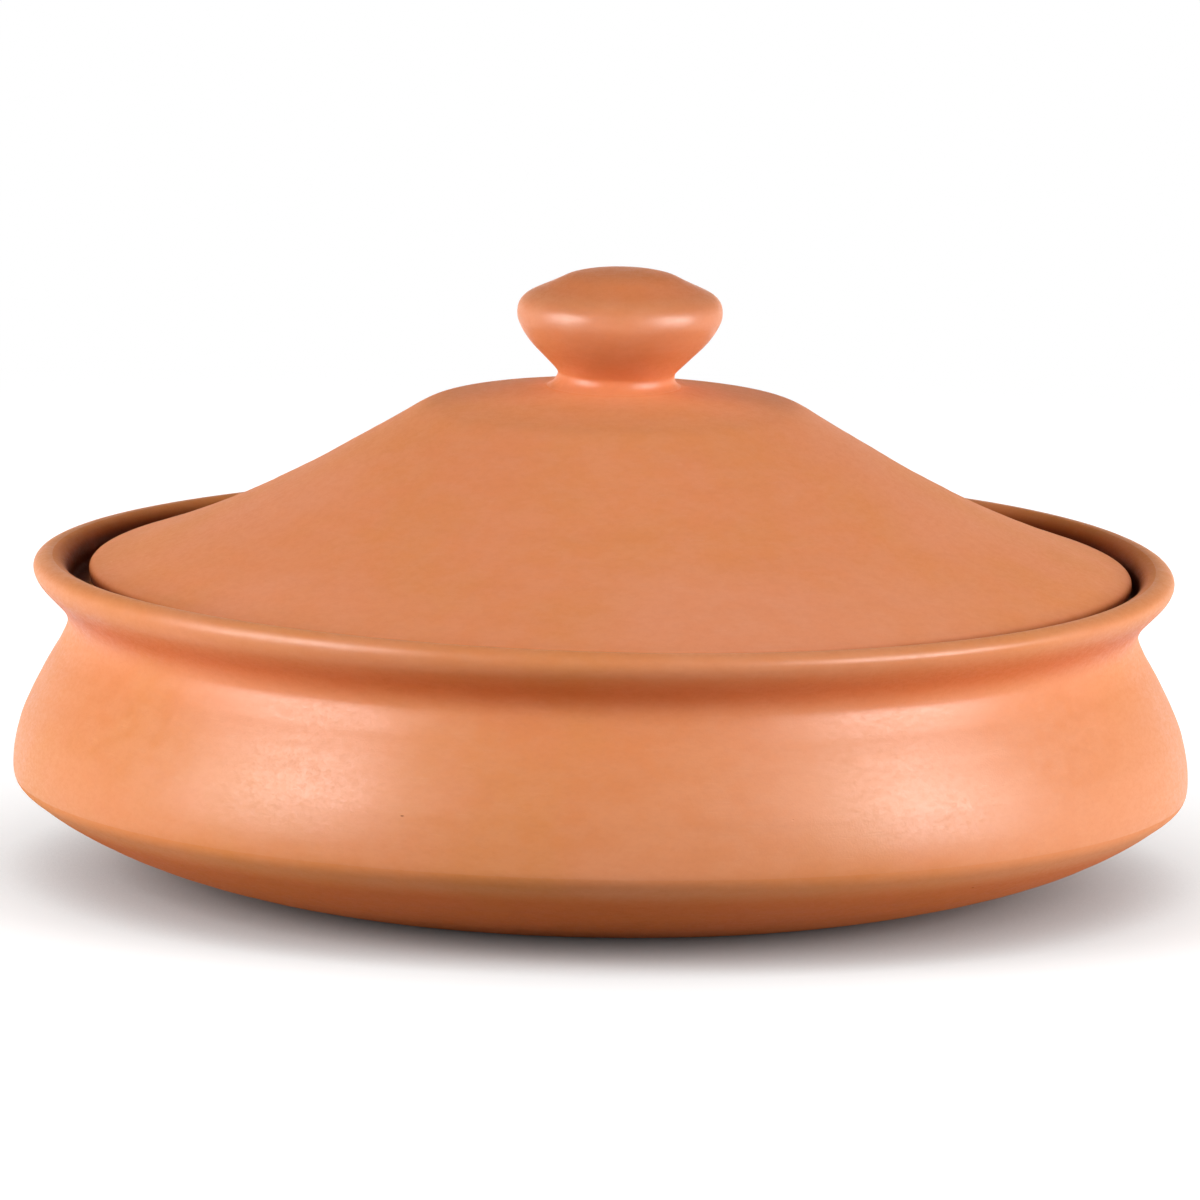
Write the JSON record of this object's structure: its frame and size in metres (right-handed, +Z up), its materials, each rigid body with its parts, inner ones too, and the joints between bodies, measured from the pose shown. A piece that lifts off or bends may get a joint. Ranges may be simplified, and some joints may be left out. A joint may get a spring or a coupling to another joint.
{
  "type": "lidded cooking pot",
  "caption": "Wide, low round clay pot with a waisted neck and flared lip, and a conical lid with a mushroom knob that rests on a ledge inside the lip.",
  "frame": {"origin": "centre of the flat round base, on the surface that the pot stands on", "axes": "+Z up along the pot's axis; -Y towards the viewer of the picture, +X to the viewer's right"},
  "size_m": [0.29, 0.29, 0.1511],
  "materials": {
    "terracotta_pot": "satin",
    "terracotta_lid": "satin"
  },
  "bodies": {
    "pot": {"pot": "terracotta_pot"},
    "lid": {"lid": "terracotta_lid"}
  },
  "joints": [
    {"name": "lid_lift", "type": "slide", "parent": "pot", "child": "lid", "axis": [0, 0, 1], "range_m": [0, 0.1]}
  ]
}
